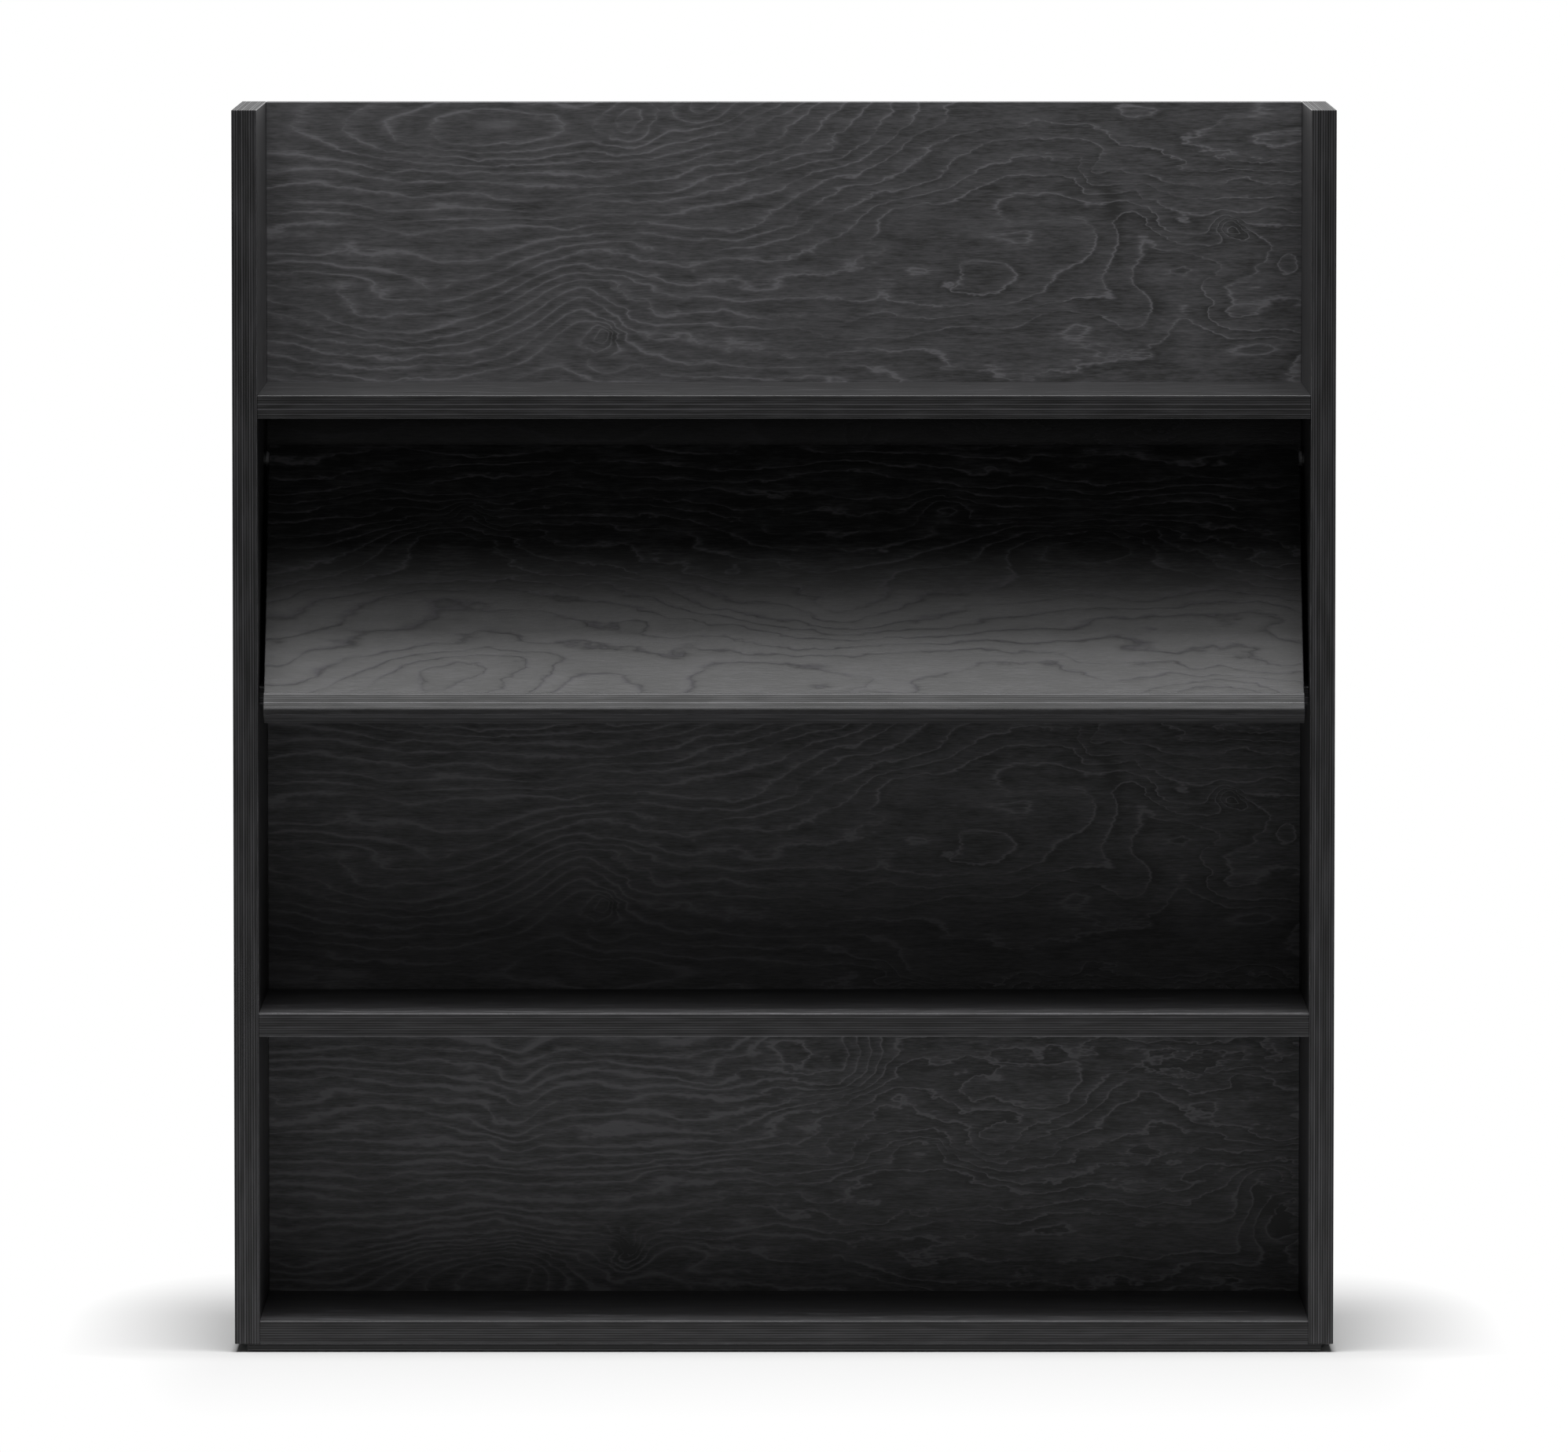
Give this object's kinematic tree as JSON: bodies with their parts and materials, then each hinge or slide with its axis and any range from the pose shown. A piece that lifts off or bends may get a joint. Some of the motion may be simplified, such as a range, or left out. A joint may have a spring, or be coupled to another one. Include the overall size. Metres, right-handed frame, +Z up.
{
  "type": "narrow bookshelf",
  "caption": "Black-stained plywood bookshelf with open compartments and a sloping display flap that lifts on end pins to reach the shelf behind it.",
  "frame": {"origin": "on the floor, in the middle of the width and of the overall depth, lip included", "axes": "+X to the right across the front as seen from the front, +Y from the front to the back, +Z up"},
  "size_m": [0.99, 0.2605, 1.1195],
  "materials": {
    "black_plywood": "satin black stain, grain showing",
    "beech_dowel": "raw",
    "zinc_steel": "zinc plated",
    "black_steel": "black oxide",
    "grey_nylon": "moulded",
    "black_nylon": "moulded",
    "glide_felt": "pressed felt",
    "bumper_rubber": "soft"
  },
  "bodies": {
    "carcass": {"side_panel_left": "black_plywood", "side_panel_right": "black_plywood", "back_panel": "black_plywood", "bottom_panel": "black_plywood", "lower_shelf": "black_plywood", "display_shelf": "black_plywood", "top_shelf": "black_plywood", "base_plate": "black_plywood", "floor_glides": "glide_felt", "base_screws": "black_steel", "shelf_dowels": "beech_dowel", "cam_bolts": "zinc_steel", "cam_housings": "zinc_steel", "back_dowels": "beech_dowel", "back_screws": "black_steel", "pivot_socket_left": "black_nylon", "pivot_socket_right": "black_nylon"},
    "flap": {"flap_panel": "black_plywood", "flap_lip": "black_plywood", "lip_dowels": "beech_dowel", "flap_bumpers": "bumper_rubber", "pivot_pin_left": "zinc_steel", "pivot_pin_right": "zinc_steel", "pivot_collar_left": "grey_nylon", "pivot_collar_right": "grey_nylon"}
  },
  "joints": [
    {"name": "flap_lift", "type": "hinge", "parent": "carcass", "child": "flap", "pos_m": [0, 0.04607, 0.79792], "axis": [-1, 0, 0], "range_deg": [0, 64]}
  ]
}
